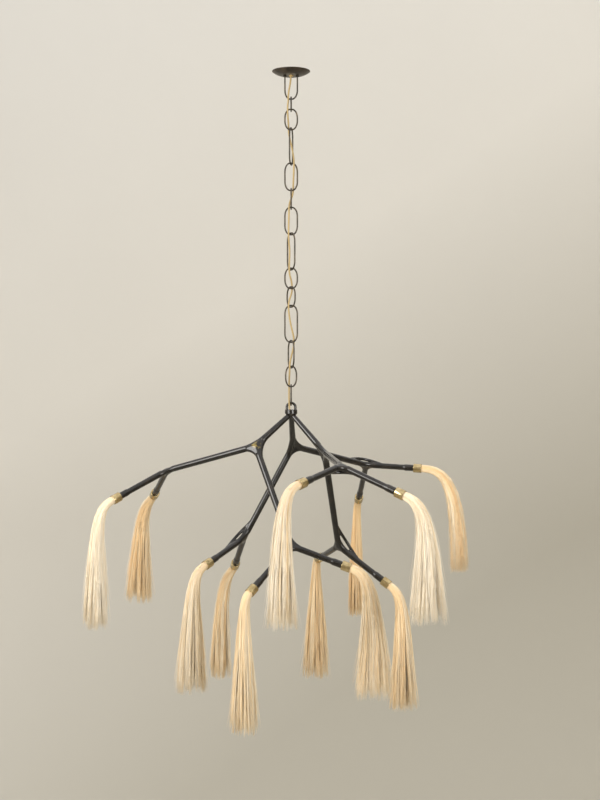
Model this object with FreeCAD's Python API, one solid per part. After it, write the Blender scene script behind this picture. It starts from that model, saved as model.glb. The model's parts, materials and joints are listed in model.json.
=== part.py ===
import FreeCAD, Part

import math
import os

from FreeCAD import Vector

# A chandelier of three forked bronze limbs with horsehair tassels, hung on a hand-made chain.
# Millimetres, +Z up. The origin is on the ceiling, at the middle of the canopy dish.
# Seen from the front, X runs to the right and Y runs away.

# Canopy dish, spun from sheet
DISH_RADIUS = 60.0
DISH_DEPTH = 14.0
DISH_FLAT_RADIUS = 30.0
DISH_RIM_HEIGHT = 1.5
DISH_WALL = 1.5
DISH_BULGE = 2.2

# Crossbar on the ceiling box
CROSSBAR_LENGTH = 100.0
CROSSBAR_WIDTH = 18.0
CROSSBAR_THICKNESS = 3.0
BOX_SCREW_SPACING = 70.0
BOX_SCREW_HOLE_RADIUS = 2.4
EARTH_SCREW_INSET = 6.0
EARTH_SCREW_RADIUS = 2.0
EARTH_SCREW_HEAD_RADIUS = 3.6
EARTH_SCREW_HEAD_HEIGHT = 2.4
EARTH_SCREW_SLOT_WIDTH = 1.0

# Chain wire, and the U-loop bent from the same wire
WIRE_RADIUS = 2.4
LINK_WIDTH = 44.0
BEARING_FLAT = 6.0
BEND_HEIGHT = 28.0
BEND_SHARE = 0.46
LINK_CLEARANCE = 0.3
U_LOOP_DROP = 88.0
U_LOOP_RISE = 10.0
NUT_FLATS = 9.0
NUT_HEIGHT = 4.0
SCREW_CLEARANCE = 0.15

# Chain, from the top: size and turn about the vertical of each link
LINK_OPENING = {"first": 38.0, "short": 59.0, "medium": 81.0, "long": 111.0}
CHAIN = (
    ("first", 90.0),
    ("short", 0.0),
    ("long", 76.0),
    ("medium", 0.0),
    ("short", 90.0),
    ("medium", 0.0),
    ("long", -54.0),
    ("short", 0.0),
    ("short", -50.0),
    ("long", 0.0),
    ("medium", -63.0),
    ("short", 30.0),
    ("short", 90.0),
)

# Supply cord and its bushing in the dish
CORD_RADIUS = 2.75
CORD_CLEARANCE = 0.3
BUSHING_FLANGE_RADIUS = 8.0
BUSHING_FLANGE_HEIGHT = 3.0
BUSHING_SHANK_RADIUS = 5.5
BUSHING_SHANK_RISE = 3.0

# The cord's route, one row for each piece of the chain that it passes: the U-loop,
# the thirteen links, and the hub. The cord is divided halfway between two rows.
CORD_ROUTE = (
    ((0, 0, 6), (0, 0, -26), (-9, -7, -72)),
    ((-9, -7, -97), (-11, -7, -112)),
    ((-11, -7, -137), (-8, 7, -168)),
    ((-8, 7, -196), (2, 2, -238), (9, -7, -279)),
    ((9, -7, -307), (6.5, 7, -359)),
    ((6.5, 7, -387), (-6.5, -7, -418)),
    ((-6.5, -7, -446), (-8, -7, -499)),
    ((-8, -7, -527), (-4, -9, -568), (-6, -7, -610)),
    ((-6, -7, -638), (3, 7, -668)),
    ((3, 7, -696), (-8, -7, -727)),
    ((-8, -7, -755), (-2, -1, -797), (9, 7, -838)),
    ((9, 7, -866), (-4.5, -10.5, -918)),
    ((-4.5, -10.5, -946), (-6.5, 7, -977)),
    ((-6.5, 7, -1005), (-6.5, -7.6, -1036)),
    ((-5, -7.2, -1058), (-5, -7.2, -1080)),
)
ARC_SHARE = 0.45

# Hub: an eye screwed into a turned core
EYE_WIRE_RADIUS = 4.0
EYE_HALF_WIDTH = 13.5
EYE_LEG_HEIGHT = 7.0
EYE_LEG_SEAT = 8.0
HUB_RADIUS = 19.5
HUB_TOP_HEIGHT = 13.0
HUB_CHAMFER = 1.0
HUB_BOTTOM_RADIUS = 6.0
HUB_ROOM_RADIUS = 12.5
HUB_ROOM_TOP = 4.0
HUB_ROOM_STEP = -2.0
HUB_LOWER_ROOM_RADIUS = 8.0
HUB_LOWER_ROOM_FLOOR = -5.0
PLUG_RADIUS = 4.4
PLUG_LENGTH = 2.2
PLUG_SLOT_WIDTH = 1.2
PLUG_SLOT_DEPTH = 1.0
SPIGOT_RADIUS = 5.0
SPIGOT_START = 9.5
SPIGOT_ROOT = 6.0
FIT_CLEARANCE = 0.1
GRUB_RADIUS = 2.0
GRUB_LENGTH = 8.0
GRUB_KEY_FLATS = 2.0
GRUB_KEY_DEPTH = 2.5

# Limbs: the same plan for all three, a third of a turn apart, each with its own heights.
# A plan point is a radius and an angle; a drop is measured down from the hub's centre.
LIMB_TURN = {"left": 0.0, "back": -120.0, "right": 120.0}
LIMB_PLAN = {
    "main_fork": (124.0, -152.5),
    "upper_fork": (402.0, 171.3),
    "lower_fork": (175.0, -89.8),
    "upper_tip_a": (536.0, -176.0),
    "upper_tip_b": (497.0, 154.7),
    "lower_tip_a": (294.0, -111.1),
    "lower_tip_b": (254.0, -52.6),
}
LIMB_DROP = {
    "left": {
        "main_fork": 100.0,
        "upper_fork": 182.0,
        "lower_fork": 398.0,
        "upper_tip_a": 258.0,
        "upper_tip_b": 263.0,
        "lower_tip_a": 510.0,
        "lower_tip_b": 453.0,
    },
    "back": {
        "main_fork": 106.0,
        "upper_fork": 176.0,
        "lower_fork": 400.0,
        "upper_tip_a": 294.0,
        "upper_tip_b": 185.0,
        "lower_tip_a": 496.0,
        "lower_tip_b": 463.0,
    },
    "right": {
        "main_fork": 121.0,
        "upper_fork": 147.0,
        "lower_fork": 426.0,
        "upper_tip_a": 217.0,
        "upper_tip_b": 187.0,
        "lower_tip_a": 530.0,
        "lower_tip_b": 478.0,
    },
}
TIPS = ("upper_tip_a", "upper_tip_b", "lower_tip_a", "lower_tip_b")

# Limb sections
STEM_HUB_RADIUS = 8.0
MAIN_FORK_RADIUS = 10.0
SIDE_FORK_RADIUS = 9.5
TIP_RADIUS = 9.0
COLLAR_RADIUS = 10.6
COLLAR_LENGTH = 28.0
COLLAR_TAPER = 6.0
MAIN_FORK_REACH = 56.0
SIDE_FORK_REACH = 40.0
CROTCH_SHARE = 0.78
DOME_SHARE = 0.58
DOME_INSET = 0.05
STRAND_RADIUS = 8.2
STRAND_OFFSET = 0.8
WEB_THICKNESS = 16.0
WEB_SHARE = 0.6
LEAD_OFFSET = 2.5
LIMB_BORE_RADIUS = 4.2
STRAND_BORE_RADIUS = 2.6
BORE_LAP = 1.0

# Most side forks have a slim strand beside a hole, from one arm to another: the arm towards
# the hub, or one to a tip. For each arm, it says how far out the strand leaves it, then how far
# from the fork the strand's middle stands, and in which direction.
SLIM_STRAND_RADIUS = 4.8
SLIM_STRAND_OFFSET = 4.2
SLIM_STRAND = {
    "left": {
        "lower_fork": (("hub", 66), ("tip_a", 66), 30, (-0.94, -0.2, 0.28)),
    },
    "back": {
        "upper_fork": (("hub", 70), ("tip_b", 48), 18, (-0.1, 0, 1)),
        "lower_fork": (("hub", 54), ("tip_b", 82), 24, (-0.88, -0.3, 0.37)),
    },
    "right": {
        "upper_fork": (("tip_a", 40), ("tip_b", 62), 20, (-0.35, 0, -1)),
        "lower_fork": (("hub", 72), ("tip_a", 72), 30, (0.85, -0.2, 0.5)),
    },
}

# Leads inside the limbs
LOOM_RADIUS = 2.2
LEAD_RADIUS = 1.4

# Tip: ferrule, light module, lens and the root of the tassel
TIP_SPIGOT_RADIUS = 7.0
TIP_SPIGOT_LENGTH = 8.0
FERRULE_RADIUS = 15.0
FERRULE_LENGTH = 27.0
FERRULE_WALL = 2.0
FERRULE_BACK = 3.0
INSERT_CLEARANCE = 0.3
LIGHT_THICKNESS = 4.0
LIGHT_CHIP_RADIUS = 4.5
LIGHT_CHIP_HEIGHT = 1.0
LENS_THICKNESS = 3.0
HAIR_LIGHT_BORE_RADIUS = 4.0
HAIR_LIGHT_BORE_DEPTH = 30.0

# Horsehair, by limb and tip: the length from the ferrule's mouth to the ragged end, the stiff
# length, over which the hair still points half as far from the vertical as the tip does, how far
# the hair drifts sideways by its end, and the radius of that end
HAIR = {
    "left": (
        (408.0, 45.0, 0.0, 37.0),
        (380.0, 60.0, 30.0, 38.0),
        (408.0, 32.0, 0.0, 39.0),
        (408.0, 50.0, 0.0, 41.0),
    ),
    "back": (
        (418.0, 45.0, 0.0, 34.0),
        (397.0, 80.0, 0.0, 33.0),
        (398.0, 60.0, 36.0, 36.0),
        (400.0, 46.0, 0.0, 41.0),
    ),
    "right": (
        (380.0, 54.0, 0.0, 40.0),
        (422.0, 50.0, 0.0, 40.0),
        (398.0, 41.0, 0.0, 38.0),
        (400.0, 35.0, 0.0, 38.0),
    ),
}
HAIR_DRIFT_SHARE = 0.2
HAIR_SPREAD_POWER = 0.8
HAIR_BEND_POWER = 2.4
HAIR_STATIONS = (0.0, 0.05, 0.11, 0.18, 0.26, 0.36, 0.5, 0.7, 1.0)
HAIR_STEPS = 400

UP = Vector(0, 0, 1)
LINK_HALF_WIDTH = LINK_WIDTH / 2 - WIRE_RADIUS
FERRULE_BORE_RADIUS = FERRULE_RADIUS - FERRULE_WALL
INSERT_RADIUS = FERRULE_BORE_RADIUS - INSERT_CLEARANCE


def save(name, solids):
    """Write one node, a solid or a group of separate solids, and check that each is sound."""
    solids = solids if isinstance(solids, list) else [solids]
    for solid in solids:
        if not solid.isValid() or len(solid.Solids) != 1:
            raise ValueError(f"{name}: not one sound solid")
    shape = solids[0] if len(solids) == 1 else Part.makeCompound(solids)
    shape.exportStep(f"parts/{name}.step")


def unit(vector):
    """The direction of a vector, with length one."""
    return vector.multiply(1 / vector.Length) if vector.Length else vector


def towards(start, end):
    """The direction from one point to another."""
    return unit(end - start)


def rod(start, end, radius):
    """A plain cylinder between two points."""
    return Part.makeCylinder(radius, (end - start).Length, start, towards(start, end))


def turned(profile, base=Vector(), direction=UP):
    """A lathe-turned solid: (radius, height) points of its half section, turned about the direction."""
    corners = [Vector(radius, 0, height) for radius, height in profile]
    face = Part.Face(Part.makePolygon(corners + corners[:1]))
    solid = face.revolve(Vector(), UP, 360)
    solid.Placement = FreeCAD.Placement(base, FreeCAD.Rotation(UP, direction))
    return solid


def swept(edges, radius):
    """A round wire along a path of lines and tangent arcs, whose volume is section times length."""
    path = Part.Wire(edges)
    start = edges[0].valueAt(edges[0].FirstParameter)
    tangent = edges[0].tangentAt(edges[0].FirstParameter)
    profile = Part.Wire(Part.makeCircle(radius, start, tangent))
    solid = path.makePipeShell([profile], True, False)
    expected = math.pi * radius * radius * path.Length
    if abs(solid.Volume - expected) > 0.01 * expected:
        raise ValueError("a swept wire's volume is not its section times its length")
    return solid


def line(start, end):
    """A straight edge."""
    return Part.LineSegment(start, end).toShape()


def arc(start, middle, end):
    """A round edge through three points."""
    return Part.Arc(start, middle, end).toShape()


def hexagon(flats, height, base, direction):
    """A six-sided bar, measured across its flats."""
    corner = flats / math.sqrt(3)
    points = []
    for side in range(7):
        angle = math.radians(60 * side)
        points.append(Vector(corner * math.cos(angle), corner * math.sin(angle), 0))
    solid = Part.Face(Part.makePolygon(points)).extrude(Vector(0, 0, height))
    solid.Placement = FreeCAD.Placement(base, FreeCAD.Rotation(UP, direction))
    return solid


def polar(radius, degrees, height):
    """A point given by its plan radius and angle, and its height."""
    angle = math.radians(degrees)
    return Vector(radius * math.cos(angle), radius * math.sin(angle), height)


def wire_bend(side, height, rise, yaw):
    """A quarter oval from a wire's end flat into its side: its two ends and its edge.

    side is -1 or 1; rise is the bend's height, below zero at the top of a link.
    """
    crown = polar(side * BEARING_FLAT / 2, yaw, height)
    flank = polar(side * LINK_HALF_WIDTH, yaw, height + rise)
    centre = polar(side * BEARING_FLAT / 2, yaw, height + rise)
    oval = Part.Ellipse(crown, flank, centre)
    return crown, flank, Part.ArcOfEllipse(oval, 0, math.pi / 2).toShape()


def make_dish():
    """Shallow dish with a flat middle, holed for the bushing and for the U-loop's legs."""
    rise = DISH_DEPTH - DISH_RIM_HEIGHT
    run = DISH_RADIUS - DISH_FLAT_RADIUS
    chord = math.hypot(run, rise)
    bulge_out = DISH_BULGE * rise / chord
    bulge_down = DISH_BULGE * run / chord

    def wall_arc(rim_radius, floor):
        """The curved wall's edge, from the flat to the rim."""
        flat = Vector(DISH_FLAT_RADIUS, 0, floor)
        rim = Vector(rim_radius, 0, -DISH_RIM_HEIGHT)
        middle = (flat + rim).multiply(0.5) + Vector(bulge_out, 0, -bulge_down)
        return flat, rim, arc(flat, middle, rim)

    outer_flat, outer_rim, outer_arc = wall_arc(DISH_RADIUS, -DISH_DEPTH)
    inner_flat, inner_rim, inner_arc = wall_arc(DISH_RADIUS - DISH_WALL, DISH_WALL - DISH_DEPTH)
    outer_top = Vector(DISH_RADIUS, 0, 0)
    inner_top = Vector(DISH_RADIUS - DISH_WALL, 0, 0)
    outer_middle = Vector(0, 0, -DISH_DEPTH)
    inner_middle = Vector(0, 0, DISH_WALL - DISH_DEPTH)
    outline = Part.Wire([
        line(outer_middle, outer_flat),
        outer_arc,
        line(outer_rim, outer_top),
        line(outer_top, inner_top),
        line(inner_top, inner_rim),
        inner_arc,
        line(inner_flat, inner_middle),
        line(inner_middle, outer_middle),
    ])
    dish = Part.Face(outline).revolve(Vector(), UP, 360)
    floor = Vector(0, 0, -DISH_DEPTH - 1)
    dish = dish.cut(Part.makeCylinder(BUSHING_SHANK_RADIUS + FIT_CLEARANCE, DISH_DEPTH, floor))
    for side in (-1, 1):
        leg = floor + Vector(side * LINK_HALF_WIDTH, 0, 0)
        dish = dish.cut(Part.makeCylinder(WIRE_RADIUS + SCREW_CLEARANCE, DISH_DEPTH, leg))
    return dish


def earth_screw_x():
    """How far the earth screw stands from the middle of the crossbar."""
    return CROSSBAR_LENGTH / 2 - EARTH_SCREW_INSET


def make_crossbar():
    """Strap with holes for the box screws, the U-loop's legs, the cord and the earth screw."""
    corner = Vector(-CROSSBAR_LENGTH / 2, -CROSSBAR_WIDTH / 2, -CROSSBAR_THICKNESS)
    bar = Part.makeBox(CROSSBAR_LENGTH, CROSSBAR_WIDTH, CROSSBAR_THICKNESS, corner)
    holes = [(0, 2 * CORD_RADIUS)]
    holes.append((earth_screw_x(), EARTH_SCREW_RADIUS + SCREW_CLEARANCE))
    for side in (-1, 1):
        holes.append((side * BOX_SCREW_SPACING / 2, BOX_SCREW_HOLE_RADIUS))
        holes.append((side * LINK_HALF_WIDTH, WIRE_RADIUS + SCREW_CLEARANCE))
    for x, radius in holes:
        bar = bar.cut(Part.makeCylinder(radius, CROSSBAR_THICKNESS, Vector(x, 0, -CROSSBAR_THICKNESS)))
    return bar


def make_earth_screw():
    """Slotted screw under the crossbar, its head down."""
    head_bottom = -CROSSBAR_THICKNESS - EARTH_SCREW_HEAD_HEIGHT
    screw = turned([
        (0, head_bottom),
        (EARTH_SCREW_HEAD_RADIUS, head_bottom),
        (EARTH_SCREW_HEAD_RADIUS, -CROSSBAR_THICKNESS),
        (EARTH_SCREW_RADIUS, -CROSSBAR_THICKNESS),
        (EARTH_SCREW_RADIUS, 0),
        (0, 0),
    ], Vector(earth_screw_x(), 0, 0))
    slot = Part.makeBox(
        2 * EARTH_SCREW_HEAD_RADIUS,
        EARTH_SCREW_SLOT_WIDTH,
        EARTH_SCREW_HEAD_HEIGHT / 2,
        Vector(earth_screw_x() - EARTH_SCREW_HEAD_RADIUS, -EARTH_SCREW_SLOT_WIDTH / 2, head_bottom),
    )
    return screw.cut(slot)


def make_u_loop():
    """Wire bent to a U, its legs standing up through the dish and the crossbar."""
    left_crown, left_flank, left_bend = wire_bend(-1, -U_LOOP_DROP, BEND_HEIGHT, 0)
    right_crown, right_flank, right_bend = wire_bend(1, -U_LOOP_DROP, BEND_HEIGHT, 0)
    return swept([
        line(Vector(-LINK_HALF_WIDTH, 0, U_LOOP_RISE), left_flank),
        left_bend,
        line(left_crown, right_crown),
        right_bend,
        line(right_flank, Vector(LINK_HALF_WIDTH, 0, U_LOOP_RISE)),
    ], WIRE_RADIUS)


def make_u_loop_nuts():
    """Two nuts on the crossbar and two under the dish."""
    nuts = []
    for side in (-1, 1):
        for bottom in (0, -DISH_DEPTH - NUT_HEIGHT):
            base = Vector(side * LINK_HALF_WIDTH, 0, bottom)
            hole = Part.makeCylinder(WIRE_RADIUS + FIT_CLEARANCE, NUT_HEIGHT, base)
            nuts.append(hexagon(NUT_FLATS, NUT_HEIGHT, base, UP).cut(hole))
    return nuts


def make_bushing():
    """Flanged bush pressed into the dish, which the cord passes through."""
    bottom = -DISH_DEPTH - BUSHING_FLANGE_HEIGHT
    top = DISH_WALL - DISH_DEPTH + BUSHING_SHANK_RISE
    bore = CORD_RADIUS + CORD_CLEARANCE
    return turned([
        (bore, bottom),
        (BUSHING_SHANK_RADIUS, bottom),
        (BUSHING_FLANGE_RADIUS, bottom + BUSHING_FLANGE_HEIGHT / 2),
        (BUSHING_FLANGE_RADIUS, -DISH_DEPTH),
        (BUSHING_SHANK_RADIUS, -DISH_DEPTH),
        (BUSHING_SHANK_RADIUS, top),
        (bore, top),
    ])


def hinge_heights():
    """Height of each wire on which the next piece hangs, from the U-loop's to the last link's."""
    heights = [-U_LOOP_DROP]
    for size, _ in CHAIN:
        heights.append(heights[-1] + LINK_CLEARANCE - LINK_OPENING[size])
    return heights


def make_link(hinge_above, hinge_below, yaw):
    """Closed oval link of round wire, with short flats where its neighbours bear."""
    top = hinge_above + 2 * WIRE_RADIUS + LINK_CLEARANCE
    rise = min(BEND_HEIGHT, BEND_SHARE * (top - hinge_below))
    top_left = wire_bend(-1, top, -rise, yaw)
    top_right = wire_bend(1, top, -rise, yaw)
    low_left = wire_bend(-1, hinge_below, rise, yaw)
    low_right = wire_bend(1, hinge_below, rise, yaw)
    return swept([
        line(low_right[1], top_right[1]),
        top_right[2],
        line(top_right[0], top_left[0]),
        top_left[2],
        line(top_left[1], low_left[1]),
        low_left[2],
        line(low_left[0], low_right[0]),
        low_right[2],
    ], WIRE_RADIUS)


def rounded_corner(before, corner, after):
    """The largest neat arc at a point of the cord's route: its ends, its middle and its radius."""
    back = towards(corner, before)
    ahead = towards(corner, after)
    half_angle = back.getAngle(ahead) / 2
    reach = ARC_SHARE * min((before - corner).Length, (after - corner).Length)
    radius = reach * math.tan(half_angle)
    inward = unit(back + ahead)
    middle = corner + inward.multiply(reach / math.cos(half_angle) - radius)
    return corner + back.multiply(reach), middle, corner + ahead.multiply(reach), radius


def make_cord_stretches():
    """The cord, divided halfway between the rows of its route, as tubes of runs and arcs."""
    points = [Vector(*point) for row in CORD_ROUTE for point in row]
    corners = {}
    for index in range(1, len(points) - 1):
        corners[index] = rounded_corner(*points[index - 1:index + 2])
    print("cord bend radii in mm:", [round(corner[3]) for corner in corners.values()])
    stretches = []
    first = 0
    for row in CORD_ROUTE:
        last = first + len(row) - 1
        here = points[0] if first == 0 else (points[first - 1] + points[first]).multiply(0.5)
        ends_cord = last == len(points) - 1
        edges = []
        for index in range(max(first, 1), last + (0 if ends_cord else 1)):
            begin, middle, end, _ = corners[index]
            edges += [line(here, begin), arc(begin, middle, end)]
            here = end
        stop = points[last] if ends_cord else (points[last] + points[last + 1]).multiply(0.5)
        edges.append(line(here, stop))
        stretches.append(swept(edges, CORD_RADIUS))
        first = last + 1
    return stretches


def eye_top(last_hinge):
    """Height of the eye's wire above the last link's bottom wire."""
    return last_hinge + WIRE_RADIUS + EYE_WIRE_RADIUS + LINK_CLEARANCE


def hub_centre():
    """The point in the hub core where the three stems aim."""
    core_top = eye_top(hinge_heights()[-1]) - EYE_HALF_WIDTH - EYE_LEG_HEIGHT
    return Vector(0, 0, core_top - HUB_TOP_HEIGHT)


def make_eye(centre):
    """Bow of thick wire, its legs screwed into the hub core."""
    core_top = centre.z + HUB_TOP_HEIGHT
    spring = core_top + EYE_LEG_HEIGHT
    foot = core_top - EYE_LEG_SEAT
    left = Vector(-EYE_HALF_WIDTH, 0, spring)
    right = Vector(EYE_HALF_WIDTH, 0, spring)
    return swept([
        line(Vector(-EYE_HALF_WIDTH, 0, foot), left),
        arc(left, Vector(0, 0, spring + EYE_HALF_WIDTH), right),
        line(right, Vector(EYE_HALF_WIDTH, 0, foot)),
    ], EYE_WIRE_RADIUS)


def hub_outside(centre, clearance=0.0):
    """The hub core's outer shape: a drum over a cone that the stems seat on."""
    radius = HUB_RADIUS + clearance
    bottom_radius = HUB_BOTTOM_RADIUS + clearance
    return turned([
        (0, HUB_TOP_HEIGHT + clearance),
        (radius - HUB_CHAMFER, HUB_TOP_HEIGHT + clearance),
        (radius, HUB_TOP_HEIGHT + clearance - HUB_CHAMFER),
        (radius, 0),
        (bottom_radius, bottom_radius - radius),
        (0, bottom_radius - radius),
    ], centre)


def grub_line(centre, stem):
    """Start and direction of the grub screw that bears on a stem's spigot."""
    outward = unit(Vector(stem.x, stem.y, 0))
    direction = unit(outward.multiply(-stem.z) + UP * math.hypot(stem.x, stem.y))
    seat = HUB_RADIUS / (math.hypot(stem.x, stem.y) - stem.z)
    middle = centre + stem * ((SPIGOT_START + seat) / 2)
    return middle + direction * SPIGOT_RADIUS, direction


def make_hub_core(centre, stems):
    """Turned core with a wiring room, sockets for the stems and holes for eye, cord, plug and grubs."""
    bottom = HUB_BOTTOM_RADIUS - HUB_RADIUS
    room = turned([
        (0, HUB_ROOM_TOP),
        (HUB_ROOM_RADIUS, HUB_ROOM_TOP),
        (HUB_ROOM_RADIUS, HUB_ROOM_STEP),
        (HUB_LOWER_ROOM_RADIUS, HUB_ROOM_STEP),
        (HUB_LOWER_ROOM_RADIUS, HUB_LOWER_ROOM_FLOOR),
        (PLUG_RADIUS + FIT_CLEARANCE, HUB_LOWER_ROOM_FLOOR),
        (PLUG_RADIUS + FIT_CLEARANCE, bottom),
        (0, bottom),
    ], centre)
    cord_x, cord_y, _ = CORD_ROUTE[-1][-1]
    cord_start = Vector(cord_x, cord_y, centre.z)
    tools = [room, Part.makeCylinder(CORD_RADIUS + CORD_CLEARANCE, HUB_TOP_HEIGHT, cord_start)]
    for side in (-1, 1):
        foot = centre + Vector(side * EYE_HALF_WIDTH, 0, HUB_TOP_HEIGHT - EYE_LEG_SEAT)
        tools.append(Part.makeCylinder(EYE_WIRE_RADIUS + FIT_CLEARANCE, EYE_LEG_SEAT, foot))
    for stem in stems:
        socket_start = centre + stem * (SPIGOT_START - BORE_LAP)
        tools.append(rod(socket_start, centre + stem * (2 * HUB_RADIUS), SPIGOT_RADIUS + FIT_CLEARANCE))
        start, direction = grub_line(centre, stem)
        tools.append(rod(start - direction, start + direction * HUB_RADIUS, GRUB_RADIUS + FIT_CLEARANCE))
    return hub_outside(centre).cut(tools)


def make_hub_plug(centre):
    """Slotted plug screwed flush into the hub core, closing the wiring room from below."""
    seat = HUB_BOTTOM_RADIUS - HUB_RADIUS
    plug = Part.makeCylinder(PLUG_RADIUS, PLUG_LENGTH, centre + Vector(0, 0, seat))
    slot_corner = centre + Vector(-PLUG_RADIUS, -PLUG_SLOT_WIDTH / 2, seat)
    return plug.cut(Part.makeBox(2 * PLUG_RADIUS, PLUG_SLOT_WIDTH, PLUG_SLOT_DEPTH, slot_corner))


def make_grub_screws(centre, stems):
    """One socket-headed grub screw for each stem."""
    screws = []
    for stem in stems:
        start, direction = grub_line(centre, stem)
        start = start + direction * FIT_CLEARANCE
        screw = rod(start, start + direction * GRUB_LENGTH, GRUB_RADIUS)
        key = start + direction * (GRUB_LENGTH - GRUB_KEY_DEPTH)
        screws.append(screw.cut(hexagon(GRUB_KEY_FLATS, GRUB_KEY_DEPTH, key, direction)))
    return screws


def limb_points(side, centre):
    """The limb's forks and tips in space."""
    points = {}
    for name, (radius, angle) in LIMB_PLAN.items():
        height = centre.z - LIMB_DROP[side][name]
        points[name] = polar(radius, angle + LIMB_TURN[side], height)
    return points


def strand_bend(fork, first, second, reach, offset):
    """The round bend of a strand between two arms: its centre, start, end and middle point."""
    half = first.getAngle(second) / 2
    middle = unit(first + second)
    crossing = fork + middle * (offset / math.sin(half))
    tangent_length = reach - offset / math.tan(half)
    centre = crossing + middle * (tangent_length / math.cos(half))
    start = crossing + first * tangent_length
    end = crossing + second * tangent_length
    return centre, start, end, centre - middle * (tangent_length * math.tan(half))


def strand(fork, first, second, reach, offset, radius):
    """Bent rod between two arms of a fork, tangent to both: a torus segment.

    It starts at the reach along the first arm, set off towards the second arm, and ends likewise.
    """
    centre, start, end, _ = strand_bend(fork, first, second, reach, offset)
    axis = (start - centre).cross(end - centre)
    face = Part.Face(Part.Wire(Part.makeCircle(radius, start, first)))
    return face.revolve(centre, axis, 180 - math.degrees(first.getAngle(second)))


def web_plate(middle, rim, normal):
    """Plate between the strands of a fork: flat triangles from its middle to its rim, on both sides."""
    lift = normal * (WEB_THICKNESS / 2)
    faces = []
    for start, end in zip(rim, rim[1:] + rim[:1]):
        for side in (1, -1):
            corners = [middle + lift * side, start + lift * side, end + lift * side]
            faces.append(Part.Face(Part.makePolygon(corners + corners[:1])))
        wall = [start - lift, end - lift, end + lift, start + lift]
        faces.append(Part.Face(Part.makePolygon(wall + wall[:1])))
    plate = Part.Solid(Part.Shell(faces))
    return plate if plate.Volume > 0 else plate.reversed()


def slim_strand(fork, arms, first, second, height, bow):
    """Slim rod from one arm of a fork to another, bowed out: a round arc through three points."""
    bow = unit(Vector(*bow))
    ends = []
    for name, reach in (first, second):
        beside = unit(bow - arms[name] * bow.dot(arms[name]))
        ends.append(fork + arms[name] * reach + beside * SLIM_STRAND_OFFSET)
    return swept([arc(ends[0], fork + bow * height, ends[1])], SLIM_STRAND_RADIUS)


def fork_solids(fork, arms, reach, slim):
    """A fork's three strands, the web between them and, at a side fork, the slim strand beside them."""
    rim = []
    solids = []
    for first, second in (("hub", "tip_a"), ("tip_a", "tip_b"), ("tip_b", "hub")):
        own_reach = reach if "hub" in (first, second) else reach * CROTCH_SHARE
        solids.append(strand(fork, arms[first], arms[second], own_reach, STRAND_OFFSET, STRAND_RADIUS))
        rim.append(fork + arms[first] * (reach * WEB_SHARE))
        rim.append(strand_bend(fork, arms[first], arms[second], own_reach, STRAND_OFFSET)[3])
    if slim:
        solids.append(slim_strand(fork, arms, *slim))
    normal = unit((arms["tip_a"] - arms["hub"]).cross(arms["tip_b"] - arms["hub"]))
    solids.append(web_plate(fork, rim, normal))
    return solids


def arm(start, end, start_radius, end_radius):
    """Tapered bar between two points, with a dome on each end."""
    bar = Part.makeCone(start_radius, end_radius, (end - start).Length, start, towards(start, end))
    domes = [
        Part.makeSphere(start_radius - DOME_INSET, start),
        Part.makeSphere(end_radius - DOME_INSET, end),
    ]
    return [bar] + domes


def tip_arm(start, tip):
    """Tapered bar from a fork to a tip, with a thicker collar and a spigot for the ferrule."""
    length = (tip - start).Length
    bar = turned([
        (0, 0),
        (SIDE_FORK_RADIUS, 0),
        (TIP_RADIUS, length - COLLAR_LENGTH - COLLAR_TAPER),
        (COLLAR_RADIUS, length - COLLAR_LENGTH),
        (COLLAR_RADIUS, length),
        (TIP_SPIGOT_RADIUS, length),
        (TIP_SPIGOT_RADIUS, length + TIP_SPIGOT_LENGTH),
        (0, length + TIP_SPIGOT_LENGTH),
    ], start, towards(start, tip))
    return [bar, Part.makeSphere(SIDE_FORK_RADIUS - DOME_INSET, start)]


def limb_forks(side, points, centre):
    """Each fork's place, the directions of its arms, its reach, and its slim strand, if any."""
    main = points["main_fork"]
    upper = points["upper_fork"]
    lower = points["lower_fork"]
    slim = SLIM_STRAND[side]
    ends = [
        (main, (centre, upper, lower), MAIN_FORK_REACH, None),
        (upper, (main, points["upper_tip_a"], points["upper_tip_b"]), SIDE_FORK_REACH,
         slim.get("upper_fork")),
        (lower, (main, points["lower_tip_a"], points["lower_tip_b"]), SIDE_FORK_REACH,
         slim.get("lower_fork")),
    ]
    forks = []
    for fork, others, reach, slim_strand_form in ends:
        arms = {name: towards(fork, other) for name, other in zip(("hub", "tip_a", "tip_b"), others)}
        forks.append((fork, arms, reach, slim_strand_form))
    return forks


def along(start, end, distance):
    """The point at a distance from start towards end."""
    return start + towards(start, end) * distance


def limb_runs(points, centre):
    """The limb's straight runs: their two nodes and how far a fork reaches in from each."""
    main = points["main_fork"]
    runs = [(centre, main, None, MAIN_FORK_REACH)]
    for name, tips in (("upper_fork", TIPS[:2]), ("lower_fork", TIPS[2:])):
        fork = points[name]
        runs.append((main, fork, MAIN_FORK_REACH, SIDE_FORK_REACH))
        for tip in tips:
            runs.append((fork, points[tip], SIDE_FORK_REACH, None))
    return runs


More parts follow.
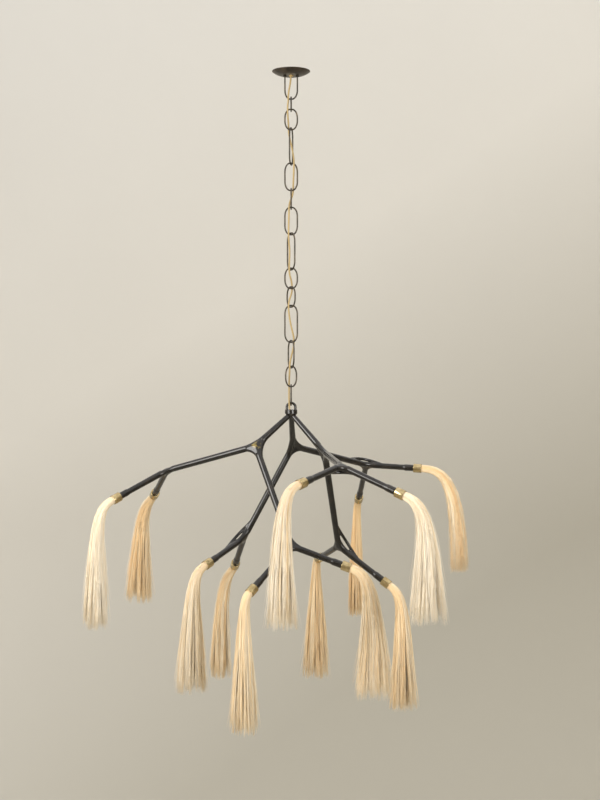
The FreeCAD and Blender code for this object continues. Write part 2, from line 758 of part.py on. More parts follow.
def make_limb(side, points, centre):
    """Forked limb: tapered arms joined at each fork by three strands and a web, bored for the leads."""
    main = points["main_fork"]
    solids = arm(
        along(centre, main, SPIGOT_START),
        along(main, centre, MAIN_FORK_REACH * DOME_SHARE),
        STEM_HUB_RADIUS,
        MAIN_FORK_RADIUS,
    )
    bores = []
    for start, end, start_reach, end_reach in limb_runs(points, centre):
        if start_reach is not None and end_reach is not None:
            solids += arm(
                along(start, end, start_reach * DOME_SHARE),
                along(end, start, end_reach * DOME_SHARE),
                MAIN_FORK_RADIUS,
                SIDE_FORK_RADIUS,
            )
        elif end_reach is None:
            solids += tip_arm(along(start, end, start_reach * DOME_SHARE), end)
        bore_start = along(start, end, (start_reach or SPIGOT_START) - BORE_LAP)
        bore_end = along(end, start, end_reach - BORE_LAP) if end_reach else (
            end + towards(start, end) * (TIP_SPIGOT_LENGTH + BORE_LAP))
        bores.append(rod(bore_start, bore_end, LIMB_BORE_RADIUS))
    for fork, arms, reach, slim in limb_forks(side, points, centre):
        solids += fork_solids(fork, arms, reach, slim)
        for tip in ("tip_a", "tip_b"):
            bores.append(strand(fork, arms["hub"], arms[tip], reach, LEAD_OFFSET, STRAND_BORE_RADIUS))
    body = solids[0].multiFuse(solids[1:])
    body = body.cut(hub_outside(centre, FIT_CLEARANCE))
    stem = towards(centre, main)
    seat = HUB_RADIUS / (math.hypot(stem.x, stem.y) - stem.z)
    spigot = rod(centre + stem * SPIGOT_START, centre + stem * (seat + SPIGOT_ROOT), SPIGOT_RADIUS)
    return body.fuse(spigot).cut(bores).Solids[0]


def make_leads(side, points, centre):
    """The leads inside one limb: a loom in each arm, split in two through each fork's strands."""
    leads = []
    for start, end, start_reach, end_reach in limb_runs(points, centre):
        first = along(start, end, start_reach or SPIGOT_START)
        last = along(end, start, end_reach) if end_reach else (
            end + towards(start, end) * TIP_SPIGOT_LENGTH)
        leads.append(rod(first, last, LOOM_RADIUS))
    for fork, arms, reach, _ in limb_forks(side, points, centre):
        for tip in ("tip_a", "tip_b"):
            leads.append(strand(fork, arms["hub"], arms[tip], reach, LEAD_OFFSET, LEAD_RADIUS))
    return leads


def make_ferrule(tip, direction):
    """Brass cup on the limb's spigot, open towards the hair."""
    return turned([
        (TIP_SPIGOT_RADIUS + FIT_CLEARANCE, 0),
        (FERRULE_RADIUS, 0),
        (FERRULE_RADIUS, FERRULE_LENGTH),
        (FERRULE_BORE_RADIUS, FERRULE_LENGTH),
        (FERRULE_BORE_RADIUS, FERRULE_BACK),
        (TIP_SPIGOT_RADIUS + FIT_CLEARANCE, FERRULE_BACK),
    ], tip, direction)


def make_light(tip, direction):
    """Round light module on the end of the spigot, with its chip in the middle."""
    return turned([
        (0, TIP_SPIGOT_LENGTH),
        (INSERT_RADIUS, TIP_SPIGOT_LENGTH),
        (INSERT_RADIUS, TIP_SPIGOT_LENGTH + LIGHT_THICKNESS),
        (LIGHT_CHIP_RADIUS, TIP_SPIGOT_LENGTH + LIGHT_THICKNESS),
        (LIGHT_CHIP_RADIUS, TIP_SPIGOT_LENGTH + LIGHT_THICKNESS + LIGHT_CHIP_HEIGHT),
        (0, TIP_SPIGOT_LENGTH + LIGHT_THICKNESS + LIGHT_CHIP_HEIGHT),
    ], tip, direction)


def make_lens(tip, direction):
    """Clear cover over the light module, hollowed for its chip."""
    back = TIP_SPIGOT_LENGTH + LIGHT_THICKNESS
    hollow = LIGHT_CHIP_RADIUS + INSERT_CLEARANCE
    roof = back + LIGHT_CHIP_HEIGHT + INSERT_CLEARANCE
    return turned([
        (hollow, back),
        (INSERT_RADIUS, back),
        (INSERT_RADIUS, back + LENS_THICKNESS),
        (0, back + LENS_THICKNESS),
        (0, roof),
        (hollow, roof),
    ], tip, direction)


def hair_line(mouth, direction, length, stiff_length, drift):
    """Points and directions along a tassel's middle, at its stations.

    The hair leaves the ferrule along the tip, and its lean from the vertical fades as
    1 / (1 + (distance / stiff length) ** power), so that it hangs straight further down. It drifts
    sideways as s^2 / (s^2 + h^2), with s the share of its length and h the share of half the drift.
    """
    lean = direction.getAngle(Vector(0, 0, -1))
    outward = unit(Vector(direction.x, direction.y, 0))
    beside = UP.cross(outward)
    full_drift = 1 + HAIR_DRIFT_SHARE ** 2
    stations = [round(share * HAIR_STEPS) for share in HAIR_STATIONS]
    step = length / HAIR_STEPS
    place = mouth
    found = []
    for index in range(HAIR_STEPS + 1):
        fade = (index * step / stiff_length) ** HAIR_BEND_POWER
        angle = lean / (1 + fade)
        heading = outward * math.sin(angle) - UP * math.cos(angle)
        if index in stations:
            share = index / HAIR_STEPS
            aside = drift * full_drift * share ** 2 / (share ** 2 + HAIR_DRIFT_SHARE ** 2)
            found.append((place + beside * aside, heading))
        place = place + heading * step
    return found


def make_tassel(tip, direction, length, stiff_length, drift, end_radius):
    """Bundle of hair: a round root potted in the ferrule, then a spreading, drooping body."""
    root_start = TIP_SPIGOT_LENGTH + LIGHT_THICKNESS + LENS_THICKNESS
    mouth = tip + direction * FERRULE_LENGTH
    root = rod(tip + direction * root_start, mouth, INSERT_RADIUS)
    sections = []
    middle = hair_line(mouth, direction, length, stiff_length, drift)
    for share, (place, heading) in zip(HAIR_STATIONS, middle):
        radius = INSERT_RADIUS + (end_radius - INSERT_RADIUS) * share ** HAIR_SPREAD_POWER
        sections.append(Part.Wire(Part.makeCircle(radius, place, heading)))
    body = Part.makeLoft(sections, True, False)
    light_bore = Part.makeCylinder(
        HAIR_LIGHT_BORE_RADIUS, HAIR_LIGHT_BORE_DEPTH, tip + direction * root_start, direction)
    return root.fuse(body).cut(light_bore).Solids[0]


def build():
    """Make every piece and write it to its own file."""
    os.makedirs("parts", exist_ok=True)
    save("canopy_dish", make_dish())
    save("ceiling_crossbar", make_crossbar())
    save("earth_screw", make_earth_screw())
    save("canopy_u_loop", make_u_loop())
    save("u_loop_nuts", make_u_loop_nuts())
    save("cord_bushing", make_bushing())

    hinges = hinge_heights()
    for index, (_, yaw) in enumerate(CHAIN):
        save(f"chain_link_{index + 1:02d}", make_link(hinges[index], hinges[index + 1], yaw))
    for index, stretch in enumerate(make_cord_stretches()):
        save(f"cord_stretch_{index:02d}", stretch)

    centre = hub_centre()
    limbs = {side: limb_points(side, centre) for side in LIMB_TURN}
    stems = [towards(centre, points["main_fork"]) for points in limbs.values()]
    save("hub_eye", make_eye(centre))
    save("hub_core", make_hub_core(centre, stems))
    save("hub_plug", make_hub_plug(centre))
    save("hub_grub_screws", make_grub_screws(centre, stems))

    leads = []
    lights = []
    lenses = []
    number = 0
    for side, points in limbs.items():
        save(f"limb_{side}", make_limb(side, points, centre))
        leads += make_leads(side, points, centre)
        ferrules = []
        for tip_name, hair in zip(TIPS, HAIR[side]):
            fork = points["upper_fork" if tip_name.startswith("upper") else "lower_fork"]
            tip = points[tip_name]
            direction = towards(fork, tip)
            ferrules.append(make_ferrule(tip, direction))
            lights.append(make_light(tip, direction))
            lenses.append(make_lens(tip, direction))
            number += 1
            save(f"hair_tassel_{number:02d}", make_tassel(tip, direction, *hair))
        save(f"ferrules_{side}", ferrules)
    save("limb_leads", leads)
    save("light_modules", lights)
    save("light_lenses", lenses)


build()
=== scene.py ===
import json
import math

import bpy
import numpy as np
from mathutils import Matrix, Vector


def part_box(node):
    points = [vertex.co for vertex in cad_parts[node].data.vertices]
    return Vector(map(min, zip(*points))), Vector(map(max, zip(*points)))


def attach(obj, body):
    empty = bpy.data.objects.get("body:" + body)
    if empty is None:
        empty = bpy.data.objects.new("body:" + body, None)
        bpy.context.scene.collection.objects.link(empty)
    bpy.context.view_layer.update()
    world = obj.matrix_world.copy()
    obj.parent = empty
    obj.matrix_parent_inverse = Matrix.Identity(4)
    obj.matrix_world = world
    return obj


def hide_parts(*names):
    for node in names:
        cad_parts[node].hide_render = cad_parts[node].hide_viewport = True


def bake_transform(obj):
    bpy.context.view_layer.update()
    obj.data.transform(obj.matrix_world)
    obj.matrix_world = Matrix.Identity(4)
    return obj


# A chandelier of forked bronze limbs with brass ferrules and horsehair tassels, on a hand-made
# chain with a cloth-covered cord. Metres, +Z up, the origin on the ceiling over the chain.

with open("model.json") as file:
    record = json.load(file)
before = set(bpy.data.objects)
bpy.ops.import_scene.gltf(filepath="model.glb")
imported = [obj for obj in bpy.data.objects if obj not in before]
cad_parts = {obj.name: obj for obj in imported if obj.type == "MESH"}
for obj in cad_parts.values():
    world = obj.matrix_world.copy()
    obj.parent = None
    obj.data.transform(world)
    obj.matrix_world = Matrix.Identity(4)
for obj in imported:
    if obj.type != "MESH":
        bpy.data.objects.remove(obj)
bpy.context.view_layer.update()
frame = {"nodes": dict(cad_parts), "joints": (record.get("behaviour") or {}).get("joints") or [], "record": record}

MM = 0.001
UP = np.array((0, 0, 1.0))

# Limbs: one plan for all three, a third of a turn apart, and each limb's own drops below the hub
HUB_TOP_HEIGHT = 13 * MM
HUB_SEAT = 19.5 * MM
hub_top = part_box("hub_core")[1].z
hub_centre = np.array((0, 0, hub_top - HUB_TOP_HEIGHT))
LIMB_TURN = {"left": 0.0, "back": -120.0, "right": 120.0}
LIMB_PLAN = {
    "main_fork": (124 * MM, -152.5),
    "upper_fork": (402 * MM, 171.3),
    "lower_fork": (175 * MM, -89.8),
    "upper_tip_a": (536 * MM, -176.0),
    "upper_tip_b": (497 * MM, 154.7),
    "lower_tip_a": (294 * MM, -111.1),
    "lower_tip_b": (254 * MM, -52.6),
}
LIMB_DROP = {
    "left": (100, 182, 398, 258, 263, 510, 453),
    "back": (106, 176, 400, 294, 185, 496, 463),
    "right": (121, 147, 426, 217, 187, 530, 478),
}
TIPS = ("upper_tip_a", "upper_tip_b", "lower_tip_a", "lower_tip_b")
STEM_HUB_RADIUS = 8 * MM
MAIN_FORK_RADIUS = 10 * MM
SIDE_FORK_RADIUS = 9.5 * MM
TIP_RADIUS = 9 * MM
COLLAR_RADIUS = 10.6 * MM
COLLAR_LENGTH = 28 * MM
COLLAR_TAPER = 6 * MM
MAIN_FORK_REACH = 56 * MM
SIDE_FORK_REACH = 40 * MM
CROTCH_SHARE = 0.78
DOME_SHARE = 0.58
STRAND_RADIUS = 8.2 * MM
STRAND_OFFSET = 0.8 * MM
WEB_THICKNESS = 16 * MM
WEB_SHARE = 0.6
LIMB_VOXEL = 1.5 * MM
LIMB_SOFTENING = 0.5
LIMB_SMOOTHING = 14
SMOOTHING_LOSS = 0.4 * MM
RUB_RADIUS = 60 * MM
RUB_STRENGTH = {"left": 1.0, "back": 0.35, "right": 0.45}
BAR_SIDES = 28
BAR_ASKEW = (0.3, 0.5, 0.8)
STRAND_SIDES = 24
TIP_ARM_RINGS = 60
TIP_ARM_DOME = (-0.98, -0.87, -0.62, -0.3)

# Most side forks have a slim strand beside a hole, from one arm to another: the arm towards
# the hub, or one to a tip. For each arm, it says how far out the strand leaves it, then how far
# from the fork the strand's middle stands, and in which direction.
SLIM_STRAND_RADIUS = 4.8 * MM
SLIM_STRAND_OFFSET = 4.2 * MM
SLIM_STRAND_FLARE = 1.8 * MM
SLIM_STRAND = {
    "left": {
        "lower_fork": (("hub", 66), ("tip_a", 66), 30, (-0.94, -0.2, 0.28)),
    },
    "back": {
        "upper_fork": (("hub", 70), ("tip_b", 48), 18, (-0.1, 0, 1)),
        "lower_fork": (("hub", 54), ("tip_b", 82), 24, (-0.88, -0.3, 0.37)),
    },
    "right": {
        "upper_fork": (("tip_a", 40), ("tip_b", 62), 20, (-0.35, 0, -1)),
        "lower_fork": (("hub", 72), ("tip_a", 72), 30, (0.85, -0.2, 0.5)),
    },
}

# Ferrules
FERRULE_RADIUS = 15 * MM
FERRULE_LENGTH = 27 * MM
FERRULE_BORE_RADIUS = 13 * MM
FERRULE_BACK = 3 * MM
FERRULE_HOLE_RADIUS = 7.1 * MM
FERRULE_ROUNDING = 0.9 * MM
FERRULE_SIDES = 64
CORNER_SHARE = 0.45
LATHE_ASKEW = (0.31, 0.52, 0.79)

# Horsehair, by limb and tip: length from the ferrule's mouth, stiff length, sideways drift by the
# end, radius of the end, and paleness
HAIR = {
    "left": (
        (408, 45, 0, 40, 0.32),
        (380, 60, 32, 47, 0.04),
        (408, 20, 0, 45, 0.12),
        (408, 50, 0, 58, 0.14),
    ),
    "back": (
        (418, 45, 0, 30, -0.02),
        (397, 80, 0, 29, 0.04),
        (398, 60, 36, 37, 0.08),
        (400, 46, 0, 55, 0.24),
    ),
    "right": (
        (380, 54, 0, 57, 0.40),
        (414, 50, 0, 47, 0.30),
        (398, 41, 0, 47, 0.08),
        (400, 15, 0, 46, 0.02),
    ),
}
HAIR_DRIFT_SHARE = 0.2
HAIR_ROOT_RADIUS = 11.8 * MM
HAIR_ROOT_DEPTH = 11 * MM
HAIR_SPREAD_POWER = 1.2
HAIR_BEND_POWER = 2.4
HAIR_COUNT = 1700
HAIR_LOCKS = 44
HAIR_RADIUS = 0.5 * MM
HAIR_FINE_STEPS = 100
HAIR_STATIONS = np.array((0, 3, 7, 12, 18, 26, 38, 54, 74, 90, 100))
HAIR_SIDES = 3
HAIR_SEED = 20

# Shares of the tassel's length: its mean hair, the most that one is longer, and how hairs, locks
# and a few much shorter hairs differ from it
HAIR_MEAN_LENGTH = 0.985
HAIR_LONGEST = 0.035
HAIR_LOCK_RAGGED = 0.03
HAIR_OWN_RAGGED = 0.02
HAIR_SHORT_SHARE = 0.22
HAIR_SHORT_POWER = 6

# How hairs vary in stiffness, stray, are drawn to the middle of their lock, wave and thin out
HAIR_STIFF_VARIATION = 0.03
HAIR_STRAY_CHANCE = 0.05
HAIR_STRAY_SPREAD = 1.12
LOCK_DISC_RADIUS = 0.94
LOCK_PULL = (0.3, 0.75)
LOCK_PULL_POWER = 1.3
LOCK_WAVE_SIZE = 2.2 * MM
LOCK_WAVE_TURNS = 1.3
HAIR_WAVE_SIZE = 0.9 * MM
HAIR_WAVE_TURNS = 2.6
HAIR_THINNING = 0.78
HAIR_THINNING_POWER = 4
HAIR_THICKNESS = (0.8, 1.2)

# Tint, from 0 for golden to 1 for cream, and the margin that the hairs' map keeps
HAIR_TINT = 0.52
LOCK_TINT_SPREAD = 0.10
HAIR_TINT_SPREAD = 0.13
HAIR_MAP_MARGIN = 0.02

# The cord's route, one row for each piece of the chain that it passes
CORD_RADIUS = 2.75 * MM
CORD_ROUTE = (
    ((0, 0, 6), (0, 0, -26), (-9, -7, -72)),
    ((-9, -7, -97), (-11, -7, -112)),
    ((-11, -7, -137), (-8, 7, -168)),
    ((-8, 7, -196), (2, 2, -238), (9, -7, -279)),
    ((9, -7, -307), (6.5, 7, -359)),
    ((6.5, 7, -387), (-6.5, -7, -418)),
    ((-6.5, -7, -446), (-8, -7, -499)),
    ((-8, -7, -527), (-4, -9, -568), (-6, -7, -610)),
    ((-6, -7, -638), (3, 7, -668)),
    ((3, 7, -696), (-8, -7, -727)),
    ((-8, -7, -755), (-2, -1, -797), (9, 7, -838)),
    ((9, 7, -866), (-4.5, -10.5, -918)),
    ((-4.5, -10.5, -946), (-6.5, 7, -977)),
    ((-6.5, 7, -1005), (-6.5, -7.6, -1036)),
    ((-5, -7.2, -1058), (-5, -7.2, -1080)),
)
CORD_SIDES = 24
CORD_RESOLUTION = 14
CORD_RING_STEP = 1.1 * MM
CORD_RING_ROOM = 0.5 * MM
BRAID_STARTS = 6
BRAID_PITCH = 9 * MM
BRAID_RELIEF = 0.16 * MM

# Camera, floor and light
CAMERA_PLACE = (0.028, -4.41, -1.036)
CAMERA_LENS = 63.0
FLOOR_HEIGHT = -5.2
FLOOR_RADIUS = 6.5
COVE_RADIUS = 3.0
COVE_TOP = 5.0
COVE_STEPS = 24
COVE_SIDES = 96
FLOOR_HOLE_RADIUS = 1 * MM
# Painted light on the cove: its paint grows lighter along this slope, up and to the left, over this reach either
# side
PAINTED_LIGHT_SLOPE = (-0.64, 0, 1)
PAINTED_LIGHT_REACH = 5.5
LIGHT_TARGET = (0, 0, -1.4)
LAMP_COLOUR = (1.0, 0.98, 0.95)
KEY_PLACE = (-3.0, -2.8, -0.1)
KEY_SIZE = 2.4
KEY_POWER = 172
FILL_PLACE = (2.2, -3.6, -0.8)
FILL_SIZE = 1.6
FILL_POWER = 88
SKY_COLOUR = (1.0, 0.985, 0.96, 1)
SKY_STRENGTH = 1.3


def unit(vectors):
    """Vectors divided by their lengths."""
    return vectors / np.linalg.norm(vectors, axis=-1, keepdims=True)


def make_object(name, points, *face_groups, uv=None):
    """A smooth-shaded object of points and groups of faces, a row of corners for each face."""
    corners = np.concatenate([group.ravel() for group in face_groups]).astype(np.int32)
    sizes = np.concatenate([np.full(len(group), group.shape[1]) for group in face_groups])
    mesh = bpy.data.meshes.new(name)
    mesh.vertices.add(len(points))
    mesh.vertices.foreach_set("co", np.asarray(points, np.float32).ravel())
    mesh.loops.add(len(corners))
    mesh.loops.foreach_set("vertex_index", corners)
    mesh.polygons.add(len(sizes))
    mesh.polygons.foreach_set("loop_start", (np.cumsum(sizes) - sizes).astype(np.int32))
    mesh.polygons.foreach_set("use_smooth", np.ones(len(sizes), bool))
    if uv is not None:
        layer = mesh.uv_layers.new(name="OFBake")
        layer.uv.foreach_set("vector", np.asarray(uv[corners], np.float32).ravel())
    mesh.update(calc_edges=True)
    obj = bpy.data.objects.new(name, mesh)
    bpy.context.scene.collection.objects.link(obj)
    return obj


def finish_piece(obj, material, slot, body, *nodes):
    """Gives a piece its material, sets it on its body, and lets it stand for CAD nodes. The slot is not used."""
    obj.data.materials.append(material)
    if body:
        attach(obj, body)
    if nodes:
        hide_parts(*nodes)
    return obj


def tubes(paths, radii, sides, reference):
    """Round tubes along many paths at once, with flat ends.

    paths is (tube, ring, xyz) and radii is (tube, ring). A ring's points are the path's point plus
    radius times (side cos a + over sin a); side is the reference made square to the path's
    tangent, and over is the tangent crossed with side.
    """
    count, rings, _ = paths.shape
    tangent = unit(np.gradient(paths, axis=1))
    across = (tangent * reference).sum(-1, keepdims=True)
    side = unit(reference - across * tangent)
    over = np.cross(tangent, side)
    angle = np.arange(sides) * 2 * np.pi / sides
    round_about = side[:, :, None] * np.cos(angle)[:, None] + over[:, :, None] * np.sin(angle)[:, None]
    points = paths[:, :, None] + radii[:, :, None, None] * round_about
    index = np.arange(count * rings * sides).reshape(count, rings, sides)
    turned_index = np.roll(index, -1, axis=2)
    quads = np.stack((
        index[:, :-1],
        turned_index[:, :-1],
        turned_index[:, 1:],
        index[:, 1:],
    ), axis=-1).reshape(-1, 4)
    ends = np.concatenate((index[:, 0, ::-1], index[:, -1]))
    return points.reshape(-1, 3), quads, ends


def lathe(profile, base, direction, sides):
    """A closed profile of (radius, height) points turned about a direction.

    A point is base plus height along the direction plus radius times (side cos a + over sin a).
    """
    direction = unit(np.asarray(direction, float))
    side = unit(np.cross(direction, LATHE_ASKEW))
    over = np.cross(direction, side)
    angle = np.arange(sides) * 2 * np.pi / sides
    out = side * np.cos(angle)[:, None] + over * np.sin(angle)[:, None]
    points = np.asarray(base) + profile[:, None, 1:] * direction + profile[:, None, :1] * out
    index = np.arange(len(profile) * sides).reshape(len(profile), sides)
    ahead = np.roll(index, -1, axis=0)
    quads = np.stack((
        index,
        np.roll(index, -1, axis=1),
        np.roll(ahead, -1, axis=1),
        ahead,
    ), axis=-1).reshape(-1, 4)
    return points.reshape(-1, 3), quads


def rounded(corners, radius, steps=4):
    """A closed outline with each corner replaced by a curve.

    The curve is (1-t)^2 before + 2t(1-t) corner + t^2 after, between points at the radius, or at
    nearly half the side if that is less, along both sides of the corner.
    """
    corners = np.asarray(corners, float)
    back = np.roll(corners, 1, axis=0) - corners
    ahead = np.roll(corners, -1, axis=0) - corners
    back_length = np.linalg.norm(back, axis=1, keepdims=True)
    ahead_length = np.linalg.norm(ahead, axis=1, keepdims=True)
    before = corners + back * np.minimum(radius / back_length, CORNER_SHARE)
    after = corners + ahead * np.minimum(radius / ahead_length, CORNER_SHARE)
    t = np.linspace(0, 1, steps + 1)[:, None, None]
    curve = (1 - t) ** 2 * before + 2 * t * (1 - t) * corners + t ** 2 * after
    return curve.transpose(1, 0, 2).reshape(-1, 2)


def joined(parts):
    """Several (points, face group, ...) shapes as one list of points and one of face groups."""
    points = []
    groups = []
    start = 0
    for shape in parts:
        points.append(shape[0])
        groups += [group + start for group in shape[1:]]
        start += len(shape[0])
    return np.concatenate(points), groups


# Materials

def new_material(name, **settings):
    """A material with its shader's plain settings, and its node tree."""
    material = bpy.data.materials.new(name)
    material.use_nodes = True
    tree = material.node_tree
    shader = tree.nodes["Principled BSDF"]
    for key, value in settings.items():
        shader.inputs[key.replace("_", " ").title().replace("Ior", "IOR")].default_value = value
    return material, tree, shader


def node(tree, kind, inputs=(), **settings):
    """A node with its settings, and its inputs linked to sockets or set to values."""
    made = tree.nodes.new(kind)
    for key, value in settings.items():
        setattr(made, key, value)
    for key, value in dict(inputs).items():
        if isinstance(value, bpy.types.NodeSocket):
            tree.links.new(value, made.inputs[key])
        else:
            made.inputs[key].default_value = value
    return made


def object_place(tree):
    """Object coordinates, in metres."""
    return node(tree, "ShaderNodeTexCoord").outputs["Object"]


def noise(tree, place, scale, detail=3.0, roughness=0.55):
    """Soft noise between about 0.3 and 0.7."""
    inputs = {"Vector": place, "Scale": scale, "Detail": detail, "Roughness": roughness}
    return node(tree, "ShaderNodeTexNoise", inputs).outputs["Fac"]


def ramp(tree, value, *stops):
    """A colour for a value: stops are (position, colour)."""
    made = node(tree, "ShaderNodeValToRGB", {"Fac": value})
    elements = made.color_ramp.elements
    while len(elements) < len(stops):
        elements.new(0.5)
    for element, (position, colour) in zip(elements, stops):
        element.position = position
        element.color = (*colour, 1)
    return made.outputs["Color"]


def spread(tree, value, low, high, to_low, to_high):
    """A value carried from one range to another, and held at its ends."""
    inputs = {"Value": value, "From Min": low, "From Max": high, "To Min": to_low, "To Max": to_high}
    return node(tree, "ShaderNodeMapRange", inputs).outputs["Result"]


def mixed(tree, share, first, second):
    """Two colours mixed by a share."""
    made = node(tree, "ShaderNodeMix", data_type="RGBA")
    tree.links.new(share, made.inputs["Factor"])
    for name, value in (("A", first), ("B", second)):
        socket = next(s for s in made.inputs if s.name == name and s.type == "RGBA")
        if isinstance(value, bpy.types.NodeSocket):
            tree.links.new(value, socket)
        else:
            socket.default_value = (*value, 1)
    return next(s for s in made.outputs if s.type == "RGBA")


def bump(tree, shader, height, distance, strength=1.0):
    """Raises the surface by a height, in shading only."""
    inputs = {"Height": height, "Distance": distance, "Strength": strength}
    tree.links.new(node(tree, "ShaderNodeBump", inputs).outputs["Normal"], shader.inputs["Normal"])


def blackened_bronze():
    """Polished black patina over bronze: mottled brown-black, rubbed to gold where the rub is strong."""
    material, tree, shader = new_material("blackened_bronze", specular_ior_level=0.5)
    place = object_place(tree)
    mottle = noise(tree, place, 55, 5)
    patina = ramp(
        tree, mottle, (0.3, (0.003, 0.0025, 0.002)), (0.52, (0.007, 0.0055, 0.004)),
        (0.72, (0.020, 0.014, 0.009)))
    rub = node(tree, "ShaderNodeAttribute", attribute_name="rub").outputs["Fac"]
    broken = node(tree, "ShaderNodeMath", {0: rub, 1: noise(tree, place, 110, 5)}, operation="MULTIPLY")
    bare = spread(tree, broken.outputs["Value"], 0.28, 0.44, 0.0, 0.9)
    tree.links.new(mixed(tree, bare, patina, (0.23, 0.165, 0.03)), shader.inputs["Base Color"])
    tree.links.new(spread(tree, noise(tree, place, 120), 0.3, 0.7, 0.15, 0.24), shader.inputs["Roughness"])
    bump(tree, shader, noise(tree, place, 220, 3), 0.3 * MM, 0.06)
    return material


def chain_steel():
    """Blackened wire, browner in places, with a faint drawn surface."""
    material, tree, shader = new_material("chain_steel", metallic=0.75, coat_weight=0.2, coat_roughness=0.3)
    place = object_place(tree)
    tone = ramp(
        tree, noise(tree, place, 70, 4), (0.32, (0.030, 0.026, 0.020)), (0.55, (0.070, 0.058, 0.043)),
        (0.74, (0.14, 0.105, 0.06)))
    tree.links.new(tone, shader.inputs["Base Color"])
    tree.links.new(spread(tree, noise(tree, place, 180), 0.3, 0.7, 0.3, 0.48), shader.inputs["Roughness"])
    bump(tree, shader, noise(tree, place, 420, 3), 0.3 * MM, 0.4)
    return material


def spun_bronze():
    """The dish's dark patina, with the faint rings of a spun sheet about the vertical."""
    material, tree, shader = new_material("spun_bronze", metallic=0.6, coat_weight=0.25, coat_roughness=0.3)
    place = object_place(tree)
    flat = node(tree, "ShaderNodeVectorMath", {0: place, 1: (1, 1, 0)}, operation="MULTIPLY")
    radius = node(tree, "ShaderNodeVectorMath", {0: flat.outputs["Vector"]}, operation="LENGTH")
    rings = node(tree, "ShaderNodeTexNoise", {"W": radius.outputs["Value"], "Scale": 900, "Detail": 2},
                 noise_dimensions="1D").outputs["Fac"]
    tone = ramp(tree, noise(tree, place, 45, 5), (0.3, (0.020, 0.015, 0.011)), (0.7, (0.075, 0.052, 0.032)))
    tree.links.new(tone, shader.inputs["Base Color"])
    tree.links.new(spread(tree, rings, 0.3, 0.7, 0.28, 0.46), shader.inputs["Roughness"])
    bump(tree, shader, rings, 0.15 * MM, 0.4)
    return material


def turned_brass():
    """Satin brass, tarnished in soft patches, with fine lines round the turning axis."""
    material, tree, shader = new_material("turned_brass", metallic=1.0)
    place = object_place(tree)
    around = node(tree, "ShaderNodeUVMap", uv_map="OFBake").outputs["UV"]
    lines = node(tree, "ShaderNodeMapping", {"Vector": around, "Scale": (2, 160, 1)}).outputs["Vector"]
    turning = noise(tree, lines, 1.0, 3)
    tone = ramp(
        tree, noise(tree, place, 70, 3), (0.3, (0.36, 0.27, 0.13)), (0.5, (0.46, 0.36, 0.19)),
        (0.7, (0.55, 0.44, 0.25)))
    tree.links.new(tone, shader.inputs["Base Color"])
    tree.links.new(spread(tree, turning, 0.3, 0.7, 0.15, 0.25), shader.inputs["Roughness"])
    bump(tree, shader, turning, 0.1 * MM, 0.25)
    return material


def plain_brass():
    """Satin brass for the bushing, tarnished in soft patches."""
    material, tree, shader = new_material("plain_brass", metallic=1.0)
    place = object_place(tree)
    tone = ramp(tree, noise(tree, place, 200, 4), (0.3, (0.48, 0.34, 0.15)), (0.7, (0.74, 0.57, 0.31)))
    tree.links.new(tone, shader.inputs["Base Color"])
    tree.links.new(spread(tree, noise(tree, place, 600), 0.3, 0.7, 0.22, 0.4), shader.inputs["Roughness"])
    return material


def zinc():
    """Zinc-plated steel with its pale spangle."""
    material, tree, shader = new_material("zinc", metallic=1.0)
    place = object_place(tree)
    cells = node(tree, "ShaderNodeTexVoronoi", {"Vector": place, "Scale": 220}).outputs["Color"]
    grey = node(tree, "ShaderNodeSeparateColor", {"Color": cells}).outputs["Red"]
    tone = ramp(tree, grey, (0.0, (0.50, 0.51, 0.52)), (1.0, (0.68, 0.68, 0.67)))
    tree.links.new(tone, shader.inputs["Base Color"])
    tree.links.new(spread(tree, grey, 0, 1, 0.28, 0.46), shader.inputs["Roughness"])
    return material


def lead_sheath():
    """Pale wire insulation, slightly mottled."""
    material, tree, shader = new_material("lead_sheath", roughness=0.55)
    mottle = noise(tree, object_place(tree), 150)
    tone = ramp(tree, mottle, (0.3, (0.66, 0.66, 0.62)), (0.7, (0.80, 0.80, 0.76)))
    tree.links.new(tone, shader.inputs["Base Color"])
    return material


def light_board():
    """Brushed aluminium of the light modules."""
    material, tree, shader = new_material("light_board", metallic=1.0)
    grain = noise(tree, object_place(tree), 900, 2)
    tone = ramp(tree, grain, (0.3, (0.74, 0.74, 0.72)), (0.7, (0.88, 0.88, 0.86)))
    tree.links.new(tone, shader.inputs["Base Color"])
    tree.links.new(spread(tree, grain, 0.3, 0.7, 0.3, 0.45), shader.inputs["Roughness"])
    return material


def frosted_lens():
    """Frosted clear plastic with a fine grain."""
    material, tree, shader = new_material("frosted_lens", transmission_weight=0.6, ior=1.49)
    grain = noise(tree, object_place(tree), 1200, 2)
    tone = ramp(tree, grain, (0.3, (0.88, 0.88, 0.84)), (0.7, (0.95, 0.95, 0.92)))
    tree.links.new(tone, shader.inputs["Base Color"])
    tree.links.new(spread(tree, grain, 0.3, 0.7, 0.3, 0.45), shader.inputs["Roughness"])
    return material


def braided_cloth():
    """Gold braid over the cord, with painted shade: brown in the gaps between the braid's crowns and paler on the
    crowns.
    """
    material, tree, shader = new_material(
        "braided_cloth", roughness=0.62, sheen_weight=0.35, sheen_roughness=0.4, specular_ior_level=0.35)
    height = node(tree, "ShaderNodeAttribute", attribute_name="crown").outputs["Fac"]
    # Painted shade: the colour darkens from the braid's crowns into the gaps between them
    braid_with_painted_shade = ramp(
        tree, height, (0.0, (0.22, 0.145, 0.05)), (0.45, (0.42, 0.31, 0.14)), (1.0, (0.56, 0.44, 0.24)))
    speck = noise(tree, object_place(tree), 700, 3)
    tone = mixed(tree, spread(tree, speck, 0.4, 0.75, 0.0, 0.5), braid_with_painted_shade, (0.41, 0.285, 0.115))
    tree.links.new(tone, shader.inputs["Base Color"])
    bump(tree, shader, speck, 0.2 * MM, 0.4)
    return material


